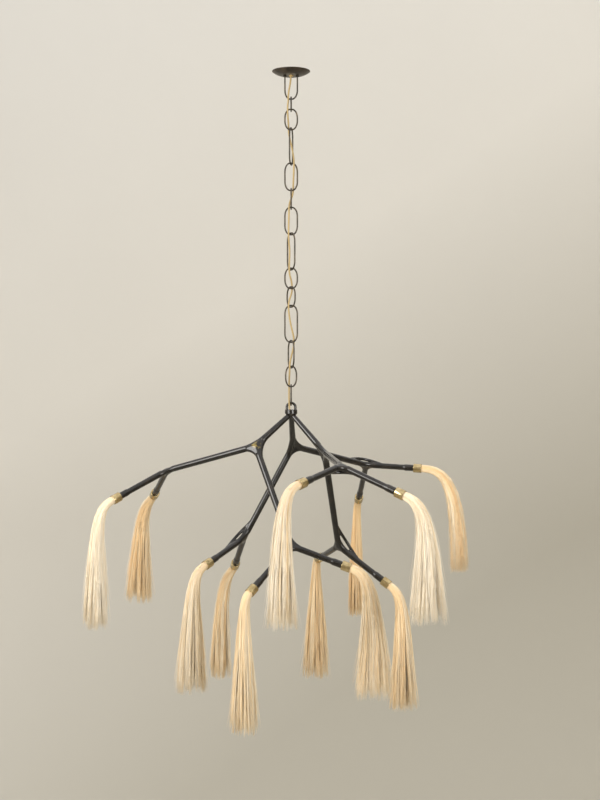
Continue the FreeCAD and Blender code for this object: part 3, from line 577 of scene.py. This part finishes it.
def horsehair():
    """Blond hair on the map (tint, along): tint runs from golden to cream, and roots are deeper."""
    material, tree, shader = new_material(
        "horsehair", roughness=0.42, specular_ior_level=0.35, sheen_weight=0.2, sheen_roughness=0.35)
    place = node(tree, "ShaderNodeUVMap", uv_map="OFBake").outputs["UV"]
    parts = node(tree, "ShaderNodeSeparateXYZ", {"Vector": place})
    tone = ramp(
        tree, parts.outputs["X"], (0.0, (0.90, 0.58, 0.28)), (0.5, (0.97, 0.745, 0.435)),
        (0.65, (0.98, 0.815, 0.56)), (0.85, (0.99, 0.88, 0.70)), (1.0, (1.0, 0.925, 0.79)))
    deep = spread(tree, parts.outputs["Y"], 0.0, 0.4, 0.5, 0.0)
    tree.links.new(mixed(tree, deep, tone, (0.80, 0.58, 0.31)), shader.inputs["Base Color"])
    return material


def pale_paint_and_painted_light():
    """Pale matt paint on the cove, with painted light: lighter up and to the left, darker down and to the right,
    and uneven.
    """
    material, tree, shader = new_material("pale_paint_and_painted_light", roughness=0.9, specular_ior_level=0.2)
    place = object_place(tree)
    # Painted light: the tone is lighter up and to the left and darker down and to the right
    slope = node(tree, "ShaderNodeVectorMath", {0: place, 1: PAINTED_LIGHT_SLOPE}, operation="DOT_PRODUCT")
    painted_light_rise = spread(tree, slope.outputs["Value"], -PAINTED_LIGHT_REACH, PAINTED_LIGHT_REACH, 0.0, 1.0)
    tone = ramp(
        tree, painted_light_rise, (0.13, (0.50, 0.475, 0.41)), (0.53, (0.80, 0.775, 0.725)), (1.0, (0.79, 0.775, 0.745)))
    uneven = spread(tree, noise(tree, place, 0.6, 2), 0.3, 0.7, 0.0, 0.06)
    tree.links.new(mixed(tree, uneven, tone, (0.55, 0.53, 0.49)), shader.inputs["Base Color"])
    return material


# Limbs

def limb_points(side):
    """The limb's forks and tips in space."""
    points = {}
    for (name, (radius, degrees)), drop in zip(LIMB_PLAN.items(), LIMB_DROP[side]):
        angle = math.radians(degrees + LIMB_TURN[side])
        points[name] = hub_centre + (radius * math.cos(angle), radius * math.sin(angle), -drop * MM)
    return points


def bar(start, end, start_radius, end_radius, rings=40, dome_rings=7):
    """Tapered bar with a half ball on each end.

    In the half balls, the radius is the ball's times sin a, at its radius times cos a beyond the end.
    """
    axis = unit(end - start)
    length = np.linalg.norm(end - start)
    angle = np.linspace(0.02, 1, dome_rings) * np.pi / 2
    along = np.linspace(0, 1, rings)
    distance = np.concatenate((
        -start_radius * np.cos(angle),
        along[1:-1] * length,
        length + end_radius * np.cos(angle[::-1]),
    ))
    radius = np.concatenate((
        start_radius * np.sin(angle),
        start_radius + (end_radius - start_radius) * along[1:-1],
        end_radius * np.sin(angle[::-1]),
    ))
    path = start + distance[:, None] * axis
    return tubes(path[None], radius[None] + SMOOTHING_LOSS, BAR_SIDES, unit(np.cross(axis, BAR_ASKEW)))


def strand_path(fork, first, second, reach, offset, rings=31):
    """The middle line of a bent rod between two arms: a round arc, tangent to both at the reach.

    With a and b the arc's ends seen from its centre and w the angle between them, a point is
    centre + (a sin((1-t)w) + b sin(tw)) / sin w. The line is set off from both arms.
    """
    half = math.acos(np.clip(first @ second, -1, 1)) / 2
    middle = unit(first + second)
    crossing = fork + middle * (offset / math.sin(half))
    tangent_length = reach - offset / math.tan(half)
    centre = crossing + middle * (tangent_length / math.cos(half))
    a = crossing + first * tangent_length - centre
    b = crossing + second * tangent_length - centre
    sweep = math.pi - 2 * half
    t = np.linspace(0, 1, rings)[:, None]
    return centre + (a * np.sin((1 - t) * sweep) + b * np.sin(t * sweep)) / math.sin(sweep)


def strand(path, radius, flare=0.0):
    """Round rod along a strand's middle line, whose radius grows by the flare times (2t-1)^4."""
    t = np.linspace(0, 1, len(path))
    radii = radius + SMOOTHING_LOSS + flare * (2 * t - 1) ** 4
    across = unit(np.cross(path[0] - path[-1], path[len(path) // 2] - path[-1]))
    return tubes(path[None], radii[None], STRAND_SIDES, across)


def web_plate(middle, rim, normal):
    """Plate between the strands of a fork: triangles from its middle to its rim, on both sides."""
    lift = normal * (WEB_THICKNESS / 2 + SMOOTHING_LOSS)
    outline = np.array([middle] + rim)
    points = np.concatenate((outline + lift, outline - lift))
    start = np.arange(1, len(outline))
    end = np.roll(start, -1)
    under = len(outline)
    top = np.stack((np.zeros_like(start), start, end), axis=1)
    bottom = np.stack((np.zeros_like(start), end, start), axis=1) + under
    walls = np.stack((start, start + under, end + under, end), axis=1)
    return points, np.concatenate((top, bottom)), walls


def slim_strand(fork, arms, first, second, height, bow):
    """Slim rod from one arm of a fork to another, bowed out: a round arc through three points.

    With u and v the steps from the start to the middle and to the end, and n = u x v, the arc's
    centre is start + (|v|^2 (n x u) + |u|^2 (v x n)) / (2 |n|^2).
    """
    bow = unit(np.array(bow))
    ends = []
    for name, reach in (first, second):
        beside = unit(bow - arms[name] * (bow @ arms[name]))
        ends.append(fork + arms[name] * reach * MM + beside * SLIM_STRAND_OFFSET)
    u = fork + bow * height * MM - ends[0]
    v = ends[1] - ends[0]
    n = np.cross(u, v)
    centre = ends[0] + (v @ v * np.cross(n, u) + u @ u * np.cross(v, n)) / (2 * n @ n)
    across = ends[0] - centre
    ahead = np.cross(unit(n), across)
    sweep = math.atan2((ends[1] - centre) @ ahead, (ends[1] - centre) @ across) % (2 * math.pi)
    angle = np.linspace(0, sweep, 41)[:, None]
    path = centre + across * np.cos(angle) + ahead * np.sin(angle)
    return strand(path, SLIM_STRAND_RADIUS, SLIM_STRAND_FLARE)


def fork_shapes(fork, arms, reach, slim):
    """A fork's three strands, the web between them and, at a side fork, the slim strand beside them."""
    rim = []
    shapes = []
    for first, second in (("hub", "tip_a"), ("tip_a", "tip_b"), ("tip_b", "hub")):
        own_reach = reach if "hub" in (first, second) else reach * CROTCH_SHARE
        path = strand_path(fork, arms[first], arms[second], own_reach, STRAND_OFFSET)
        shapes.append(strand(path, STRAND_RADIUS))
        rim.append(fork + arms[first] * (reach * WEB_SHARE))
        rim.append(path[len(path) // 2])
    if slim:
        shapes.append(slim_strand(fork, arms, *slim))
    normal = unit(np.cross(arms["tip_a"] - arms["hub"], arms["tip_b"] - arms["hub"]))
    shapes.append(web_plate(fork, rim, normal))
    return shapes


def tip_arm(start, tip):
    """Tapered bar from a fork to a tip, and its thicker collar, with a flat end at the ferrule."""
    axis = unit(tip - start)
    length = np.linalg.norm(tip - start)
    dome = SIDE_FORK_RADIUS * np.array(TIP_ARM_DOME)
    bends = (0, length - COLLAR_LENGTH - COLLAR_TAPER, length - COLLAR_LENGTH, length)
    radii = (SIDE_FORK_RADIUS, TIP_RADIUS, COLLAR_RADIUS, COLLAR_RADIUS)
    straight = np.linspace(0, length, TIP_ARM_RINGS)
    distance = np.concatenate((dome, straight))
    radius = np.concatenate((np.sqrt(SIDE_FORK_RADIUS ** 2 - dome ** 2), np.interp(straight, bends, radii)))
    path = start + distance[:, None] * axis
    return tubes(path[None], radius[None] + SMOOTHING_LOSS, BAR_SIDES, unit(np.cross(axis, BAR_ASKEW)))


def along(start, end, distance):
    """The point at a distance from start towards end."""
    return start + unit(end - start) * distance


def limb_shapes(side, points):
    """All bars, collars, strands and webs of one limb, overlapping where they join."""
    main = points["main_fork"]
    stem = unit(main - hub_centre)
    seat = HUB_SEAT / (math.hypot(stem[0], stem[1]) - stem[2])
    main_inset = MAIN_FORK_REACH * DOME_SHARE
    side_inset = SIDE_FORK_REACH * DOME_SHARE
    stem_end = along(main, hub_centre, main_inset)
    shapes = [bar(hub_centre + stem * seat, stem_end, STEM_HUB_RADIUS, MAIN_FORK_RADIUS)]
    forks = [(main, (hub_centre, points["upper_fork"], points["lower_fork"]), MAIN_FORK_REACH, None)]
    for name, tips in (("upper_fork", TIPS[:2]), ("lower_fork", TIPS[2:])):
        fork = points[name]
        shapes.append(bar(along(main, fork, main_inset), along(fork, main, side_inset),
                          MAIN_FORK_RADIUS, SIDE_FORK_RADIUS))
        for tip in tips:
            shapes.append(tip_arm(along(fork, points[tip], side_inset), points[tip]))
        ends = (main, points[tips[0]], points[tips[1]])
        forks.append((fork, ends, SIDE_FORK_REACH, SLIM_STRAND[side].get(name)))
    for fork, ends, reach, slim in forks:
        arms = {name: unit(end - fork) for name, end in zip(("hub", "tip_a", "tip_b"), ends)}
        shapes += fork_shapes(fork, arms, reach, slim)
    return shapes


def apply_modifiers(obj):
    """Makes an object's modifiers part of its mesh."""
    depsgraph = bpy.context.evaluated_depsgraph_get()
    mesh = bpy.data.meshes.new_from_object(obj.evaluated_get(depsgraph))
    obj.modifiers.clear()
    obj.data = mesh


def make_limb(side, points, material):
    """One cast limb: its bars and strands melted together, and rubbed bright about its main fork.

    The rub is the limb's strength at the fork and falls to 0 at the rub radius, as the square of
    the share of the radius that is left.
    """
    shape, groups = joined(limb_shapes(side, points))
    limb = make_object("bronze_limb_" + side, shape, *groups)
    melt = limb.modifiers.new("melt", "REMESH")
    melt.mode = "VOXEL"
    melt.voxel_size = LIMB_VOXEL
    melt.use_smooth_shade = True
    soften = limb.modifiers.new("soften", "SMOOTH")
    soften.factor = LIMB_SOFTENING
    soften.iterations = LIMB_SMOOTHING
    apply_modifiers(limb)
    mesh = limb.data
    place = np.empty(len(mesh.vertices) * 3, np.float32)
    mesh.vertices.foreach_get("co", place)
    distance = np.linalg.norm(place.reshape(-1, 3) - points["main_fork"], axis=1)
    rub = RUB_STRENGTH[side] * np.clip(1 - distance / RUB_RADIUS, 0, 1) ** 2
    mesh.attributes.new("rub", "FLOAT", "POINT").data.foreach_set("value", rub.astype(np.float32))
    finish_piece(limb, material, "blackened_bronze", "chandelier", "limb_" + side)


def make_ferrules(side, tips, material):
    """The four plain brass cups of a limb, with rounded edges."""
    outline = (
        (FERRULE_HOLE_RADIUS, 0),
        (FERRULE_RADIUS, 0),
        (FERRULE_RADIUS, FERRULE_LENGTH),
        (FERRULE_BORE_RADIUS, FERRULE_LENGTH),
        (FERRULE_BORE_RADIUS, FERRULE_BACK),
        (FERRULE_HOLE_RADIUS, FERRULE_BACK),
    )
    profile = rounded(outline, FERRULE_ROUNDING)
    cups = [lathe(profile, tip, direction, FERRULE_SIDES) for tip, direction in tips]
    points, groups = joined(cups)
    around = np.tile(np.abs(np.linspace(-1, 1, FERRULE_SIDES)), len(profile))
    up = np.repeat(np.arange(len(profile)) / len(profile), FERRULE_SIDES)
    uv = np.tile(np.stack((around, up), axis=1), (len(cups), 1))
    ferrules = make_object("brass_ferrules_" + side, points, *groups, uv=uv)
    finish_piece(ferrules, material, "brass", "chandelier", "ferrules_" + side)


# Horsehair

def disc_points(count, rng):
    """Points spread evenly at random over a disc of radius 1."""
    turn = rng.random(count) * 2 * np.pi
    return np.sqrt(rng.random(count))[:, None] * np.stack((np.cos(turn), np.sin(turn)), axis=1)


def hair_paths(mouth, direction, length, stiff_length, drift, end_radius, rng):
    """The paths of all hairs of one tassel, (hair, ring, xyz), and each hair's lock.

    A hair's lean from the vertical fades along it as lean / (1 + (s / stiff length) ** power), and
    its path is the sum of its small steps. Beside that it stands off the tassel's middle by its
    place in the root's disc, times a radius that grows towards the end, and is drawn part of the
    way to the middle of its lock. The tassel drifts sideways as s^2 / (s^2 + h^2), with s the share
    of the length and h the share of half the drift. Locks and hairs waver a little, and differ in
    length.
    """
    outward = unit(direction * (1, 1, 0))
    beside = np.cross(UP, outward)
    lean = math.acos(np.clip(-direction[2], -1, 1))

    disc = disc_points(HAIR_COUNT, rng)
    lock_disc = LOCK_DISC_RADIUS * disc_points(HAIR_LOCKS, rng)
    lock = np.linalg.norm(disc[:, None] - lock_disc, axis=2).argmin(1)
    lock_pull = rng.uniform(*LOCK_PULL, HAIR_LOCKS)[lock]
    lock_length = rng.normal(0, HAIR_LOCK_RAGGED, HAIR_LOCKS)[lock]
    lock_wave = rng.random((HAIR_LOCKS, 2))[lock]

    ragged = np.minimum(HAIR_LONGEST, rng.normal(0, HAIR_OWN_RAGGED, HAIR_COUNT) + lock_length)
    ragged -= HAIR_SHORT_SHARE * rng.random(HAIR_COUNT) ** HAIR_SHORT_POWER
    own_length = length * (HAIR_MEAN_LENGTH + ragged)
    own_stiff = stiff_length * (1 + rng.normal(0, HAIR_STIFF_VARIATION, HAIR_COUNT))
    stray = rng.random(HAIR_COUNT) < HAIR_STRAY_CHANCE
    own_wave = rng.random((HAIR_COUNT, 2))

    share = np.linspace(0, 1, HAIR_FINE_STEPS + 1)
    distance = own_length[:, None] * share
    angle = lean / (1 + (distance / own_stiff[:, None]) ** HAIR_BEND_POWER)
    step = (own_length / HAIR_FINE_STEPS)[:, None]
    out = np.cumsum(np.sin(angle), axis=1) * step
    down = np.cumsum(np.cos(angle), axis=1) * step
    out = (out - out[:, :1])[:, HAIR_STATIONS]
    down = (down - down[:, :1])[:, HAIR_STATIONS]
    angle = angle[:, HAIR_STATIONS]
    share = share[HAIR_STATIONS]

    pull = lock_pull[:, None] * share ** LOCK_PULL_POWER
    offset = disc[:, None] + (lock_disc[lock] - disc)[:, None] * pull[..., None]
    radius = HAIR_ROOT_RADIUS + (end_radius - HAIR_ROOT_RADIUS) * share ** HAIR_SPREAD_POWER
    radius = radius * np.where(stray, HAIR_STRAY_SPREAD, 1.0)[:, None] ** (share * 2)
    offset = offset * radius[..., None]
    waves = (
        (lock_wave, LOCK_WAVE_SIZE, LOCK_WAVE_TURNS),
        (own_wave, HAIR_WAVE_SIZE, HAIR_WAVE_TURNS),
    )
    for wave, size, turns in waves:
        swing = np.sin(2 * np.pi * (turns * share[:, None] + wave[:, None]))
        offset = offset + size * share[:, None] * swing

    aside = drift * (1 + HAIR_DRIFT_SHARE ** 2) * share ** 2 / (share ** 2 + HAIR_DRIFT_SHARE ** 2)
    offset[..., 0] += aside
    in_plane = np.cos(angle)[..., None] * outward + np.sin(angle)[..., None] * UP
    middle = mouth + out[..., None] * outward - down[..., None] * UP
    paths = middle + offset[..., :1] * beside + offset[..., 1:] * in_plane
    roots = paths[:, :1] - direction * HAIR_ROOT_DEPTH
    return np.concatenate((roots, paths), axis=1), lock


def make_tassel(name, node_name, mouth, direction, hair, material, rng):
    """One tassel of separate hairs, each a closed three-sided tube that thins to its end."""
    *sizes, paleness = hair
    paths, lock = hair_paths(mouth, direction, *(size * MM for size in sizes), rng)
    share = np.concatenate(((0,), HAIR_STATIONS / HAIR_FINE_STEPS))
    thickness = HAIR_RADIUS * (1 - HAIR_THINNING * share ** HAIR_THINNING_POWER)
    radii = thickness * rng.uniform(*HAIR_THICKNESS, (HAIR_COUNT, 1))
    sideways = unit(np.cross(direction, UP))
    points, quads, ends = tubes(paths, radii, HAIR_SIDES, sideways)
    lock_tint = rng.normal(0, LOCK_TINT_SPREAD, HAIR_LOCKS)[lock]
    tint = HAIR_TINT + paleness + lock_tint + rng.normal(0, HAIR_TINT_SPREAD, HAIR_COUNT)
    tint = np.clip(tint, HAIR_MAP_MARGIN, 1 - HAIR_MAP_MARGIN)
    uv = np.empty((HAIR_COUNT, len(share), HAIR_SIDES, 2))
    uv[..., 0] = tint[:, None, None]
    uv[..., 1] = (HAIR_MAP_MARGIN + (1 - 2 * HAIR_MAP_MARGIN) * share)[:, None]
    tassel = make_object(name, points, quads, ends, uv=uv.reshape(-1, 2))
    finish_piece(tassel, material, "horsehair", "chandelier", node_name)


# Cord

def cord_line():
    """Points along the cord's smooth line, read from one spline guided by the route."""
    route = [point for row in CORD_ROUTE for point in row]
    curve = bpy.data.curves.new("cord_route", "CURVE")
    curve.dimensions = "3D"
    curve.resolution_u = CORD_RESOLUTION
    spline = curve.splines.new("NURBS")
    spline.points.add(len(route) - 1)
    for point, place in zip(spline.points, route):
        point.co = (place[0] * MM, place[1] * MM, place[2] * MM, 1)
    spline.order_u = 3
    spline.use_endpoint_u = True
    holder = bpy.data.objects.new("cord_route", curve)
    bpy.context.scene.collection.objects.link(holder)
    mesh = bpy.data.meshes.new_from_object(holder.evaluated_get(bpy.context.evaluated_depsgraph_get()))
    line = np.empty(len(mesh.vertices) * 3)
    mesh.vertices.foreach_get("co", line)
    bpy.data.objects.remove(holder)
    bpy.data.curves.remove(curve)
    bpy.data.meshes.remove(mesh)
    return line.reshape(-1, 3)


def cord_tube(name, path, start_length):
    """A braided length of cord. The radius is raised by the braid's crowns.

    A crown is |cos(n a + k s) cos(n a - k s)|, with a the angle round the cord, s the length along
    it, n half the braid's starts and k a whole turn for each pitch.
    """
    steps = np.linalg.norm(np.diff(path, axis=0), axis=1)
    lengths = start_length + np.concatenate(((0,), np.cumsum(steps)))
    angle = np.arange(CORD_SIDES) * 2 * np.pi / CORD_SIDES
    twist = 2 * np.pi * lengths[:, None] / BRAID_PITCH
    crown = np.abs(np.cos(BRAID_STARTS / 2 * angle + twist) * np.cos(BRAID_STARTS / 2 * angle - twist))
    points, quads, ends = tubes(path[None], np.full((1, len(path)), 1.0), CORD_SIDES, np.array((1.0, 0, 0)))
    middle = np.repeat(path, CORD_SIDES, axis=0)
    points = middle + (points - middle) * (CORD_RADIUS - BRAID_RELIEF * (1 - crown.reshape(-1, 1)))
    cord = make_object(name, points, quads, ends)
    attribute = cord.data.attributes.new("crown", "FLOAT", "POINT")
    attribute.data.foreach_set("value", crown.astype(np.float32).ravel())
    return cord, lengths


def make_cord(material):
    """The cord in one piece for each joint of the chain, cut at the middle of each link."""
    line = cord_line()
    dense_z = np.arange(line[0, 2], line[-1, 2], -CORD_RING_STEP)
    joints = frame["joints"]
    heights = [joint["pos_m"][2] for joint in joints]
    cuts = [line[0, 2]]
    cuts += [(above + below) / 2 for above, below in zip(heights, heights[1:])]
    cuts.append(line[-1, 2])
    done = 0.0
    for number, joint in enumerate(joints):
        top, bottom = cuts[number], cuts[number + 1]
        inner = dense_z[(dense_z < top - CORD_RING_ROOM) & (dense_z > bottom + CORD_RING_ROOM)]
        z = np.concatenate(((top,), inner, (bottom,)))
        path = np.stack([np.interp(-z, -line[:, 2], line[:, axis]) for axis in range(3)], axis=1)
        cord, lengths = cord_tube(f"cloth_cord_{number + 1:02d}", path, done)
        done = lengths[-1]
        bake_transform(cord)
        nodes = [f"cord_stretch_{number + 1:02d}"]
        if number == 0:
            nodes.append("cord_stretch_00")
        finish_piece(cord, material, "gold_cord", None, *nodes)


# Stage

def make_stage():
    """Round studio cove: a flat floor that rises into a wall through a quarter circle."""
    angle = np.linspace(0, np.pi / 2, COVE_STEPS)
    floor = (FLOOR_HOLE_RADIUS, FLOOR_RADIUS / 2)
    radius = np.concatenate((floor, FLOOR_RADIUS + COVE_RADIUS * np.sin(angle)))
    height = np.concatenate(((0, 0), COVE_RADIUS * (1 - np.cos(angle)))) + FLOOR_HEIGHT
    radius = np.append(radius, radius[-1])
    height = np.append(height, COVE_TOP)
    turn = np.arange(COVE_SIDES) * 2 * np.pi / COVE_SIDES
    points = np.stack((
        radius[:, None] * np.cos(turn),
        radius[:, None] * np.sin(turn),
        np.broadcast_to(height[:, None], (len(height), COVE_SIDES)),
    ), axis=-1).reshape(-1, 3)
    index = np.arange(len(radius) * COVE_SIDES).reshape(-1, COVE_SIDES)
    ahead = np.roll(index, -1, axis=1)
    quads = np.stack((index[:-1], index[1:], ahead[1:], ahead[:-1]), axis=-1).reshape(-1, 4)
    cove = make_object("studio_cove", points, quads)
    cove.data.materials.append(pale_paint_and_painted_light())


def area_light(name, place, size, power):
    """A square soft light at a place, facing the object's middle."""
    data = bpy.data.lights.new(name, "AREA")
    data.size = size
    data.energy = power
    data.color = LAMP_COLOUR
    light = bpy.data.objects.new(name, data)
    light.visible_camera = False
    light.location = place
    direction = Vector(LIGHT_TARGET) - Vector(place)
    light.rotation_euler = direction.to_track_quat("-Z", "Y").to_euler()
    bpy.context.scene.collection.objects.link(light)


def make_lights():
    """Soft light from the left in front, a weaker one from the right, and an even sky."""
    area_light("key", KEY_PLACE, KEY_SIZE, KEY_POWER)
    area_light("fill", FILL_PLACE, FILL_SIZE, FILL_POWER)
    world = bpy.data.worlds.new("even_sky")
    world.use_nodes = True
    sky = world.node_tree.nodes["Background"]
    sky.inputs["Color"].default_value = SKY_COLOUR
    sky.inputs["Strength"].default_value = SKY_STRENGTH
    bpy.context.scene.world = world
    bpy.context.scene.view_settings.view_transform = "Standard"


def make_camera():
    """A level camera at the height of the picture's middle."""
    data = bpy.data.cameras.new("camera")
    data.lens = CAMERA_LENS
    camera = bpy.data.objects.new("camera", data)
    camera.location = CAMERA_PLACE
    camera.rotation_euler = (math.pi / 2, 0, 0)
    bpy.context.scene.collection.objects.link(camera)
    bpy.context.scene.camera = camera


def dress_nodes():
    """Gives each CAD node that stays in sight the material of its finish."""
    finishes = {
        "blackened_bronze": blackened_bronze(),
        "chain_steel": chain_steel(),
        "spun_bronze": spun_bronze(),
        "brass": plain_brass(),
        "zinc_plate": zinc(),
        "lead_insulation": lead_sheath(),
        "light_board": light_board(),
        "lens_clear": frosted_lens(),
    }
    finishes["dark_screws"] = finishes["chain_steel"]
    for row in frame["record"]["subparts"]:
        name = row["node"]
        finish = "spun_bronze" if name == "canopy_dish" else row["material_slot"]
        if finish in finishes:
            obj = frame["nodes"][name]
            obj.data.materials.clear()
            obj.data.materials.append(finishes[finish])
    return finishes


def build():
    """Makes the whole picture."""
    make_camera()
    make_cord(braided_cloth())
    finishes = dress_nodes()
    brass = turned_brass()
    hair_material = horsehair()
    rng = np.random.default_rng(HAIR_SEED)
    number = 0
    for side in LIMB_TURN:
        points = limb_points(side)
        make_limb(side, points, finishes["blackened_bronze"])
        tips = []
        for tip_name, hair in zip(TIPS, HAIR[side]):
            fork = points["upper_fork" if tip_name.startswith("upper") else "lower_fork"]
            tip = points[tip_name]
            direction = unit(tip - fork)
            tips.append((tip, direction))
            number += 1
            mouth = tip + direction * FERRULE_LENGTH
            make_tassel(f"horsehair_{number:02d}", f"hair_tassel_{number:02d}", mouth, direction, hair,
                        hair_material, rng)
        make_ferrules(side, tips, brass)
    make_stage()
    make_lights()


build()
